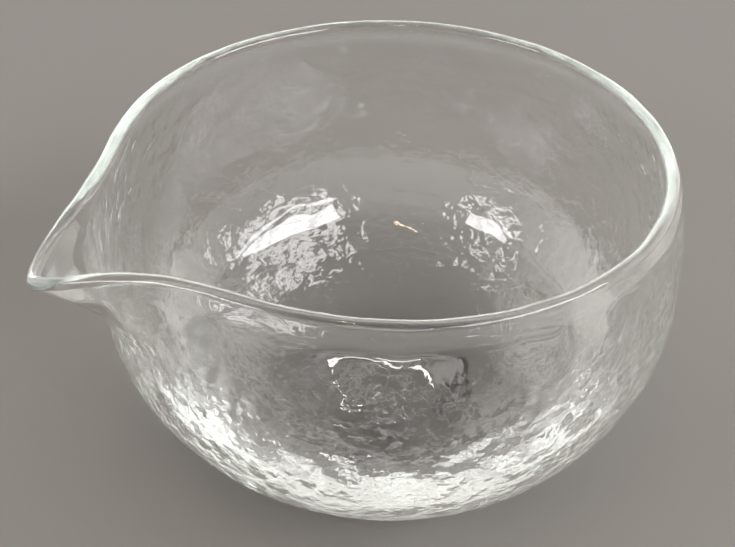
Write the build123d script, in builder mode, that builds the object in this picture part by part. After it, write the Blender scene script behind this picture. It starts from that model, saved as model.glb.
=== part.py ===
"""Hand-blown glass mixing bowl with a pulled pouring lip, one piece of glass.

Millimetres, +Z up. The origin is on the bowl's axis, in the plane that the
bowl rests on, and the lip points along -X.
"""
from build123d import *
from math import cos, exp, hypot, radians, sin, sqrt
import os

os.makedirs("parts", exist_ok=True)

# Driving dimensions, in millimetres
rim_radius = 80.0        # outside of the round rim
bowl_height = 98.0       # resting plane to the top of the rim
belly_radius = 85.0      # the widest place, below the rim
belly_height = 61.0
base_radius = 25.0       # flat that the bowl stands on
wall = 4.0               # side wall, rim and lip
floor_thickness = 12.0
floor_radius = 36.0      # flat of the inside bottom
rim_round = 1.0          # fire-polished edges

# The lip: how far it is pulled out, how far it droops, and where it starts
lip_reach = 25.0
lip_droop = 6.0
lip_root_height = 63.0   # the keel leaves the belly here
lip_droop_start = 76.0   # distance from the axis where the rim starts to fall
lip_spread = 12.3        # degrees: half-width of the bulge in the outline
lip_nose = 2.5           # degrees: rounds the bulge's tip
keel_power = 1.7         # how the keel swings out between its root and the rim

# How finely the outlines and the walls are followed
outline_points = 60
curve_steps = 9          # sections from the base to the belly
upper_steps = 5          # sections from the belly to the rim
overrun = 4.0            # how far the blanks stand above the rim before it is cut


def body_radius(height, base, bottom, widest, top):
    """A quarter ellipse from the base to the belly, then a slow curve back in."""
    if height <= belly_height:
        rise = (height - bottom) / (belly_height - bottom)
        return base + (widest - base) * sqrt(max(0.0, 1 - (1 - rise) ** 2))
    rise = (height - belly_height) / (bowl_height - belly_height)
    return widest - (widest - top) * rise**2


def lip_bulge(turn):
    """The lip's share of its full reach, turn degrees away from its middle."""
    spread = hypot(turn, lip_nose) ** 1.5 - lip_nose**1.5
    return exp(-spread / lip_spread**1.5)


def lip_pull(height):
    """How far the lip stands out of the body at this height."""
    full = bowl_height - lip_droop - lip_root_height
    rise = max(0.0, height - lip_root_height) / full
    return lip_reach * rise**keel_power


def outside(turn, height):
    """A point of the outer surface; turn is measured from the lip's middle."""
    radius = body_radius(height, base_radius, 0, belly_radius, rim_radius)
    radius += lip_pull(height) * lip_bulge(turn)
    return (-radius * cos(radians(turn)), -radius * sin(radians(turn)))


def inside(turn, height):
    """A point of the inner surface: the outer outline, one wall further in."""
    x, y = outside(turn, height)
    ahead = outside(turn + 0.1, height)
    behind = outside(turn - 0.1, height)
    along = (ahead[0] - behind[0], ahead[1] - behind[1])
    length = hypot(*along)
    inward = (along[1] / length, -along[0] / length)
    outer = body_radius(height, base_radius, 0, belly_radius, rim_radius)
    inner = body_radius(height, floor_radius, floor_thickness, belly_radius - wall, rim_radius - wall)
    gap = outer - inner
    if inward[0] * x + inward[1] * y > 0:
        gap = -gap
    return (x + gap * inward[0], y + gap * inward[1])


def turns():
    """Angles round the outline, closest together at the lip."""
    for step in range(outline_points):
        share = 2 * step / outline_points - 1
        yield 180 * (0.3 * share + 0.7 * share**3)


def heights(bottom):
    """Section heights, closest together where the wall leaves the bottom."""
    for step in range(curve_steps):
        yield bottom + (belly_height - bottom) * (1 - cos(radians(90 * step / curve_steps)))
    for step in range(upper_steps + 1):
        yield belly_height + (bowl_height + overrun - belly_height) * step / upper_steps


with BuildPart() as hollow:
    for level in heights(floor_thickness):
        with BuildSketch(Plane.XY.offset(level)):
            with BuildLine():
                Spline(*[inside(turn, level) for turn in turns()], periodic=True)
            make_face()
    loft()

with BuildPart() as glass_bowl:
    for level in heights(0):
        with BuildSketch(Plane.XY.offset(level)):
            with BuildLine():
                Spline(*[outside(turn, level) for turn in turns()], periodic=True)
            make_face()
    loft()
    add(hollow.part, mode=Mode.SUBTRACT)

    # Cut the mouth: level all round, falling away along the lip
    level_end = (-lip_droop_start, bowl_height)
    droop_end = (-rim_radius - lip_reach - overrun, bowl_height - lip_droop)
    clear = 2 * rim_radius
    with BuildSketch(Plane.XZ):
        with BuildLine():
            TangentArc(level_end, droop_end, tangent=(-1, 0))
            Polyline(
                droop_end, (-clear, bowl_height - lip_droop),
                (-clear, clear), (clear, clear), (clear, bowl_height), level_end,
            )
        make_face()
    extrude(amount=clear, both=True, mode=Mode.SUBTRACT)

    # Fire-polish the rim
    rim = glass_bowl.edges().filter_by(GeomType.LINE, reverse=True)
    rim = rim.filter_by(lambda edge: edge.bounding_box().min.Z > bowl_height - 1.5 * lip_droop)
    fillet(rim, rim_round)

glass_bowl.part.label = "glass_bowl"
export_step(glass_bowl.part, "parts/glass_bowl.step")
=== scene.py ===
"""Looks of a hand-blown glass mixing bowl with a pulled pouring lip.

Metres, +Z up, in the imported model's frame: the bowl's axis is the Z axis, it
stands on Z = 0 and its lip points along -X. The CAD solid is replaced by one
closed skin of glass: gently wavy all over, and rippled outside except on the
rim and the lip, as glass is that was blown into a textured mould.
"""
from math import cos, pi, radians, sin

import bpy
import numpy as np
from mathutils import Matrix, Vector, noise

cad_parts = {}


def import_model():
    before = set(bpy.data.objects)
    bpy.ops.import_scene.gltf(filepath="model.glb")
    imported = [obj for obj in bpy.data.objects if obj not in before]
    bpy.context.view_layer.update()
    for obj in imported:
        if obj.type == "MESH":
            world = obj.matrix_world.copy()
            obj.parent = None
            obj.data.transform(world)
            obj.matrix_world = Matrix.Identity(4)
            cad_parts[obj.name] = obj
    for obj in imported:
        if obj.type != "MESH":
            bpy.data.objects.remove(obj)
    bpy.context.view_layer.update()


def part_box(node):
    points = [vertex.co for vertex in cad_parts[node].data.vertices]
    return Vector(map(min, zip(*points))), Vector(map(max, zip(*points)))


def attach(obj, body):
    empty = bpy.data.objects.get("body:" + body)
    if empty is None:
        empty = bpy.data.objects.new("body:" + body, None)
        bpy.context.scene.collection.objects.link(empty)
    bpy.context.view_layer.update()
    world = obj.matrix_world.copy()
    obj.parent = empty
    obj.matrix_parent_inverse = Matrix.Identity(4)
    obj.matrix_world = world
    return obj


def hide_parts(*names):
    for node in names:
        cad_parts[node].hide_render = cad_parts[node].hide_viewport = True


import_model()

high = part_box("glass_bowl")[1]

MM = 0.001

# The bowl's outside: its height and belly are the CAD part's
HEIGHT = high.z
CROWN = HEIGHT + 0.5 * MM    # mean height of the bead's top
BELLY_RADIUS = high.y
BELLY_HEIGHT = 61 * MM
RIM_RADIUS = BELLY_RADIUS - 5.4 * MM
BASE_RADIUS = 25 * MM

# The lip: how far it is pulled out, how far it droops, and where it starts
LIP_REACH = 24.3 * MM
LIP_DROOP = 7.8 * MM
LIP_ROOT_HEIGHT = 63 * MM    # the keel leaves the belly here
LIP_SPREAD = 13.3            # degrees: half-width of the bulge in the outline
LIP_NOSE = 1.4               # degrees: rounds the bulge's tip
LIP_POWER = 1.44             # how steeply the bulge falls away
DROOP_POWER = 1.67           # above 1, the droop is narrower than the bulge
KEEL_POWER = 1.7             # how the keel swings out between its root and the rim

# The glass's thickness
WALL = 2.8 * MM
FLOOR = 12 * MM
RIM_BEAD = 2.1 * MM          # radius of the fire-polished bead
BEAD_BLEND = 6.5 * MM        # height over which the wall swells into the bead

# The section below the belly is a superellipse: 2 is an ellipse, more is squarer
BODY_POWER = 1.95
HOLLOW_POWER = 3.2

# Slow waves round the bowl: how many go round, how high in mm, phase in degrees
RIM_WAVER = [(1, 0.34, 286), (2, 0.83, 290)]
OUT_OF_ROUND = [(2, 0.54, 172), (3, 0.43, 54)]

# Bumps in the surface: how far across and how deep in mm, and a seed
SWELL = (10, 0.2, 4)
RIPPLES = [(5, 0.2, 1), (2.8, 0.19, 2)]
BASE_RIPPLE = 0.8            # share of the ripples left on the base
BASE_SWELL = 0.6             # share of all bumps left on the base after that

# The mark that the rod left under the base
PONTIL_RADIUS = 17.5 * MM
PONTIL_LIMIT = 22 * MM       # no part of its edge is further out
PONTIL_DEPTH = 1.4 * MM
BASE_SLOPE = 4 * MM          # width of the slopes up to it and to the gap
BASE_GAP = 0.3 * MM          # keeps the base's face off the floor's

# The grid: columns round the bowl, and rows along each stretch of the section
COLUMNS = 440
BASE_ROWS = 24
LOWER_ROWS = 56
UPPER_ROWS = 44
BEAD_ROWS = 14
INNER_UPPER_ROWS = 22
INNER_LOWER_ROWS = 40

# The room: how bright its ceiling and walls are, and the bearing of its brightest wall
CEILING = 0.2
FRONT_WALL = 1.0
BACK_WALL = 2.9
BACK_AZIMUTH = 68            # degrees
CEILING_EDGE = 44            # degrees up, where the wall has faded into the ceiling
WALL_EDGE = 28               # degrees up, where it starts to fade
DAYLIGHT = (1, 0.975, 0.94)

# A string of small warm lamps: azimuth and elevation of each, in degrees
LAMPS = [(-129, 52), (-130, 59), (-135, 64), (-142, 68), (-150, 72)]
LAMPLIGHT = (1, 0.72, 0.4)


def smooth(value):
    """A smooth step from 0 to 1."""
    value = np.clip(value, 0, 1)
    return value * value * (3 - 2 * value)


# ---------------------------------------------------------------- the shape

def swing(angle, parts):
    """The sum of some slow waves round the bowl, at an angle in radians."""
    return sum(size * np.cos(count * angle + radians(phase)) for count, size, phase in parts) * MM


def lip_bulge(turn):
    """The lip's share of its reach, turn degrees away from its middle."""
    spread = np.hypot(turn, LIP_NOSE) ** LIP_POWER - LIP_NOSE**LIP_POWER
    return np.exp(-spread / LIP_SPREAD**LIP_POWER)


def crest(turn):
    """Height of the rim: level, drooping along the lip, a little uneven."""
    droop = LIP_DROOP * lip_bulge(turn) ** DROOP_POWER
    return CROWN - droop + swing(np.radians(turn), RIM_WAVER)


def lip_pull(turn, height):
    """How far the lip stands out of the body, from its root up to the rim."""
    rise = np.maximum(0, height - LIP_ROOT_HEIGHT) / (crest(turn) - RIM_BEAD - LIP_ROOT_HEIGHT)
    return LIP_REACH * lip_bulge(turn) * rise**KEEL_POWER


def section(height, bottom, base, power):
    """Radius of the round body: a quarter superellipse, then a slow curve back in."""
    rise = np.clip((height - bottom) / (BELLY_HEIGHT - bottom), 0, 1)
    lower = base + (BELLY_RADIUS - base) * (1 - (1 - rise) ** power) ** (1 / power)
    close = np.maximum(0, height - BELLY_HEIGHT) / (HEIGHT - BELLY_HEIGHT)
    return lower - (BELLY_RADIUS - RIM_RADIUS) * close**2


def outside(turn, height):
    """Points of the smooth outer surface, in plan."""
    radius = section(height, 0, BASE_RADIUS, BODY_POWER) + lip_pull(turn, height)
    angle = np.radians(turn)
    return np.stack([-radius * np.cos(angle), -radius * np.sin(angle)], -1)


def inward(turn, height):
    """Unit vectors in plan, from the outer surface into the bowl."""
    along = outside(turn + 0.1, height) - outside(turn - 0.1, height)
    along /= np.linalg.norm(along, axis=-1, keepdims=True)
    across = np.stack([-along[..., 1], along[..., 0]], -1)
    flip = np.sign((across * outside(turn, height)).sum(-1, keepdims=True))
    return -flip * across


def thickness(height, top):
    """Thickness in plan: the floor, then the side wall, swelling into the rim's bead."""
    outer = section(height, 0, BASE_RADIUS, BODY_POWER)
    hollow = section(height, FLOOR, 0, HOLLOW_POWER)
    swell = smooth(1 - (top - height) / BEAD_BLEND)
    return np.hypot(np.maximum(0, outer - hollow), WALL + (2 * RIM_BEAD - WALL) * swell)


def inside(turn, height, top):
    """Points of the smooth inner surface, in plan."""
    return outside(turn, height) + thickness(height, top)[:, None] * inward(turn, height)


# ---------------------------------------------------------------- the grid

def columns():
    """Angles round the bowl from the lip's middle, closer together at the lip."""
    fine = np.linspace(-180, 180, 7201)
    weight = 1 + 1.3 * np.exp(-((fine / 24) ** 2))
    total = np.concatenate([[0], np.cumsum((weight[1:] + weight[:-1]) / 2)])
    return np.interp(np.arange(COLUMNS) / COLUMNS * total[-1], total, fine)


def hollow_heights():
    """Heights of the inner rows from the belly to the floor, evenly spaced along the section."""
    height = FLOOR + (BELLY_HEIGHT - FLOOR) * np.linspace(0, 1, 2001) ** 4
    steps = np.hypot(np.diff(section(height, FLOOR, 0, HOLLOW_POWER)), np.diff(height))
    length = np.concatenate([[0], np.cumsum(steps)])
    share = np.arange(INNER_LOWER_ROWS, 0, -1) / INNER_LOWER_ROWS
    return np.interp(share * length[-1], length, height)


def base_rows(turn):
    """From the middle of the base to its edge, where the ripples fade out."""
    level = np.zeros_like(turn)
    for step in range(1, BASE_ROWS):
        share = step / BASE_ROWS
        yield outside(turn, level) * share, level, BASE_RIPPLE * smooth(2.2 - 2.2 * share)


def outer_rows(turn, top):
    """Up the outside, rippled between the base's edge and the rim, but not on the lip."""
    for step in range(LOWER_ROWS):
        height = np.full_like(turn, BELLY_HEIGHT * (1 - cos(pi / 2 * step / LOWER_ROWS)))
        yield outside(turn, height), height, smooth(step / 12)
    for step in range(UPPER_ROWS + 1):
        height = BELLY_HEIGHT + (top - BELLY_HEIGHT) * step / UPPER_ROWS
        below = smooth((top - height) / (14 * MM) - 0.25)
        pulled = smooth(lip_pull(turn, height) / (4 * MM) - 0.2)
        yield outside(turn, height), height, below * (1 - pulled)


def bead_rows(turn, top):
    """Over the rim's round bead."""
    into = inward(turn, top)
    middle = outside(turn, top) + RIM_BEAD * into
    for step in range(1, BEAD_ROWS):
        angle = pi * step / BEAD_ROWS
        yield middle - RIM_BEAD * cos(angle) * into, top + RIM_BEAD * sin(angle), 0


def inner_rows(turn, top):
    """Down the inside to the middle of the floor."""
    for step in range(INNER_UPPER_ROWS, 0, -1):
        height = BELLY_HEIGHT + (top - BELLY_HEIGHT) * step / INNER_UPPER_ROWS
        yield inside(turn, height, top), height, 0
    for level in hollow_heights():
        height = np.full_like(turn, level)
        yield inside(turn, height, top), height, 0


def grid():
    """Rows of points along the whole section, and how rippled each point is."""
    turn = columns()
    top = crest(turn) - RIM_BEAD
    stretches = [base_rows(turn), outer_rows(turn, top), bead_rows(turn, top), inner_rows(turn, top)]
    points, rippled = [], []
    for stretch in stretches:
        for plan, height, ripple in stretch:
            points.append(np.concatenate([plan, height[:, None]], -1))
            rippled.append(np.broadcast_to(ripple, turn.shape))
    return np.array(points), np.array(rippled)


# ---------------------------------------------------------------- hand work

def waves(points, size, seed):
    """Smooth noise at each point, about one bump per size, within -1 and 1."""
    shift = Vector((seed * 17.3, seed * 5.1, seed * 9.7))
    values = [noise.noise(Vector(p) / size + shift) for p in points.reshape(-1, 3)]
    return np.array(values).reshape(points.shape[:-1])


def bumps(points, across, deep, seed):
    """Smooth bumps in metres, from their size in mm."""
    return deep * MM * waves(points, across * MM, seed)


def normals(points):
    """Unit normals of the grid, pointing out of the glass."""
    around = np.roll(points, -1, 1) - np.roll(points, 1, 1)
    along = np.gradient(points, axis=0)
    out = np.cross(around, along)
    return out / np.maximum(np.linalg.norm(out, axis=-1, keepdims=True), 1e-12)


def worked(points, rippled):
    """The grid with the bowl's uneven making: out of round, wavy, and rippled outside."""
    points = points.copy()
    angle = np.arctan2(points[..., 1], points[..., 0])
    stretch = 1 + swing(angle, OUT_OF_ROUND) * (points[..., 2] / HEIGHT) ** 2 / RIM_RADIUS
    points[..., :2] *= stretch[..., None]
    out = normals(points)
    depth = bumps(points, *SWELL)
    band = rippled.max(1) > 0
    for ripple in RIPPLES:
        depth[band] += bumps(points[band], *ripple) * rippled[band]
    points += out * depth[..., None]
    points[..., 2] = np.maximum(points[..., 2], 0)
    return points


def pontil(points):
    """Pushes up the middle of the base, as the rod that held the bowl left it."""
    base = points[:BASE_ROWS - 1]
    reach = np.hypot(base[..., 0], base[..., 1])
    edge = np.minimum(PONTIL_LIMIT, PONTIL_RADIUS + bumps(base, 11, 8, 3) + bumps(base, 5, 4, 5))
    lumps = 1 + 0.8 * waves(base, 6 * MM, 6)
    push = PONTIL_DEPTH * lumps * smooth((edge - reach) / BASE_SLOPE)
    gap = BASE_GAP * smooth((BASE_RADIUS - reach) / BASE_SLOPE)
    base[..., 2] = push + base[..., 2] * BASE_SWELL + gap
    return points


def faces(rows):
    """Quads between the grid's rows, and a fan of triangles to the middle of each end."""
    start, end = rows * COLUMNS, rows * COLUMNS + 1
    last = (rows - 1) * COLUMNS
    found = []
    for row in range(rows - 1):
        here, there = row * COLUMNS, (row + 1) * COLUMNS
        for column in range(COLUMNS):
            after = (column + 1) % COLUMNS
            found.append((here + column, here + after, there + after, there + column))
    for column in range(COLUMNS):
        after = (column + 1) % COLUMNS
        found.append((start, after, column))
        found.append((end, last + column, last + after))
    return found


def skin(name):
    """One closed mesh from the grid, with a mask of where the glass is rippled."""
    points, rippled = grid()
    points = pontil(worked(points, rippled))
    middles = [points[0].mean(0), points[-1].mean(0)]
    vertices = np.concatenate([points.reshape(-1, 3), middles])
    mask = np.concatenate([rippled.ravel(), [BASE_RIPPLE, 0]])
    mesh = bpy.data.meshes.new(name)
    mesh.from_pydata(vertices.tolist(), [], faces(len(points)))
    mesh.polygons.foreach_set("use_smooth", [True] * len(mesh.polygons))
    mesh.attributes.new("rippled", "FLOAT", "POINT").data.foreach_set("value", mask.astype(np.float32))
    mesh.update()
    bowl = bpy.data.objects.new(name, mesh)
    bpy.context.scene.collection.objects.link(bowl)
    return bowl


# ---------------------------------------------------------------- materials

def fine_ripples(tree, shader):
    """Unevenness too fine for the mesh, where the glass is rippled."""
    place = tree.nodes.new("ShaderNodeTexCoord")
    mask = tree.nodes.new("ShaderNodeAttribute")
    mask.attribute_name = "rippled"
    fine = tree.nodes.new("ShaderNodeTexNoise")
    fine.inputs["Scale"].default_value = 420
    fine.inputs["Detail"].default_value = 1
    height = tree.nodes.new("ShaderNodeMath")
    height.operation = "MULTIPLY"
    bump = tree.nodes.new("ShaderNodeBump")
    bump.inputs["Strength"].default_value = 1
    bump.inputs["Distance"].default_value = 0.17 * MM
    tree.links.new(place.outputs["Object"], fine.inputs["Vector"])
    tree.links.new(fine.outputs["Fac"], height.inputs[0])
    tree.links.new(mask.outputs["Fac"], height.inputs[1])
    tree.links.new(height.outputs["Value"], bump.inputs["Height"])
    tree.links.new(bump.outputs["Normal"], shader.inputs["Normal"])


def glass():
    """Clear soda glass with a faint green body colour and a finely uneven outside."""
    material = bpy.data.materials.new("clear_glass")
    material.use_nodes = True
    tree = material.node_tree
    shader = tree.nodes["Principled BSDF"]
    shader.inputs["Base Color"].default_value = (1, 1, 1, 1)
    shader.inputs["Roughness"].default_value = 0
    shader.inputs["Transmission Weight"].default_value = 1
    shader.inputs["IOR"].default_value = 1.5
    fine_ripples(tree, shader)
    tint = tree.nodes.new("ShaderNodeVolumeAbsorption")
    tint.inputs["Color"].default_value = (0.55, 0.86, 0.66, 1)
    tint.inputs["Density"].default_value = 1.1
    tree.links.new(tint.outputs["Volume"], tree.nodes["Material Output"].inputs["Volume"])
    return material


# ---------------------------------------------------------------- the studio

def floor():
    """A plain matt table top."""
    bpy.ops.mesh.primitive_plane_add(size=30, location=(0, 0, 0))
    plane = bpy.context.object
    plane.name = "floor"
    material = bpy.data.materials.new("pale_floor")
    material.use_nodes = True
    shader = material.node_tree.nodes["Principled BSDF"]
    shader.inputs["Base Color"].default_value = (0.152, 0.143, 0.134, 1)
    shader.inputs["Roughness"].default_value = 0.7
    plane.data.materials.append(material)


def bearing(azimuth, elevation, distance):
    """A point round the bowl; azimuth is counter-clockwise from +X, seen from above."""
    a, e = radians(azimuth), radians(elevation)
    return Vector((cos(a) * cos(e), sin(a) * cos(e), sin(e))) * distance


def light(name, place, width, height, radiance, colour=(1, 1, 1)):
    """A soft box aimed at the bowl, as bright as a window or a lamp of its size."""
    lamp = bpy.data.lights.new(name, "AREA")
    lamp.shape = "RECTANGLE"
    lamp.size, lamp.size_y = width, height
    lamp.energy = radiance * pi * width * height
    lamp.color = colour
    box = bpy.data.objects.new(name, lamp)
    box.location = place
    box.rotation_euler = place.to_track_quat("Z", "Y").to_euler()
    bpy.context.scene.collection.objects.link(box)


def ramp(tree, value, start, end, first, last):
    """A smooth step of a node's value: first up to start, last from end on."""
    step = tree.nodes.new("ShaderNodeMapRange")
    step.interpolation_type = "SMOOTHSTEP"
    step.inputs["From Min"].default_value = start
    step.inputs["From Max"].default_value = end
    step.inputs["To Min"].default_value = first
    step.inputs["To Max"].default_value = last
    tree.links.new(value, step.inputs["Value"])
    return step.outputs["Result"]


def world():
    """A soft room: a band of wall round the horizon, brightest behind the bowl, and a dim ceiling."""
    room = bpy.data.worlds.new("room")
    bpy.context.scene.world = room
    room.use_nodes = True
    tree = room.node_tree
    place = tree.nodes.new("ShaderNodeTexCoord").outputs["Generated"]
    split = tree.nodes.new("ShaderNodeSeparateXYZ")
    tree.links.new(place, split.inputs["Vector"])
    back = tree.nodes.new("ShaderNodeVectorMath")
    back.operation = "DOT_PRODUCT"
    back.inputs[1].default_value = bearing(BACK_AZIMUTH, 0, 1)
    tree.links.new(place, back.inputs[0])
    ceiling, wall = sin(radians(CEILING_EDGE)), sin(radians(WALL_EDGE))
    strength = tree.nodes.new("ShaderNodeMath")
    strength.operation = "MULTIPLY"
    tree.links.new(ramp(tree, split.outputs["Z"], ceiling, wall, CEILING, 1), strength.inputs[0])
    tree.links.new(ramp(tree, back.outputs["Value"], -0.5, 0.6, FRONT_WALL, BACK_WALL), strength.inputs[1])
    tree.links.new(strength.outputs["Value"], tree.nodes["Background"].inputs["Strength"])
    tree.nodes["Background"].inputs["Color"].default_value = (*DAYLIGHT, 1)


def camera():
    """The photograph's view: 58 degrees round from the lip, looking 38 degrees down."""
    data = bpy.data.cameras.new("camera")
    data.sensor_width = 36
    data.lens = 56.33
    data.clip_start = 0.01
    view = bpy.data.objects.new("camera", data)
    place = Vector((0, 0, CROWN)) + bearing(238, 31.37, 324.5 * MM)
    turn = Matrix.Rotation(radians(-30.76), 4, "Z")
    tilt = Matrix.Rotation(radians(52.18), 4, "X")
    roll = Matrix.Rotation(radians(0.69), 4, "Z")
    view.matrix_world = Matrix.Translation(place) @ turn @ tilt @ roll
    bpy.context.scene.collection.objects.link(view)
    bpy.context.scene.camera = view


bowl = skin("blown_glass_bowl")
bowl.data.materials.append(glass())
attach(bowl, "root")
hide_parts("glass_bowl")

floor()
light("window_right", bearing(-64, 39, 1.6), 1.5, 0.43, 13)
light("window_left", bearing(-177, 31, 1.6), 0.56, 0.26, 13)
for number, (azimuth, elevation) in enumerate(LAMPS):
    light(f"lamp_{number}", bearing(azimuth, elevation, 1.5), 0.03, 0.03, 200, LAMPLIGHT)
world()
camera()

# Light that is caught in the glass bounces many times before it leaves
scene = bpy.context.scene
scene.cycles.max_bounces = 64
scene.cycles.transmission_bounces = 64
scene.cycles.glossy_bounces = 64
scene.view_settings.view_transform = "Standard"
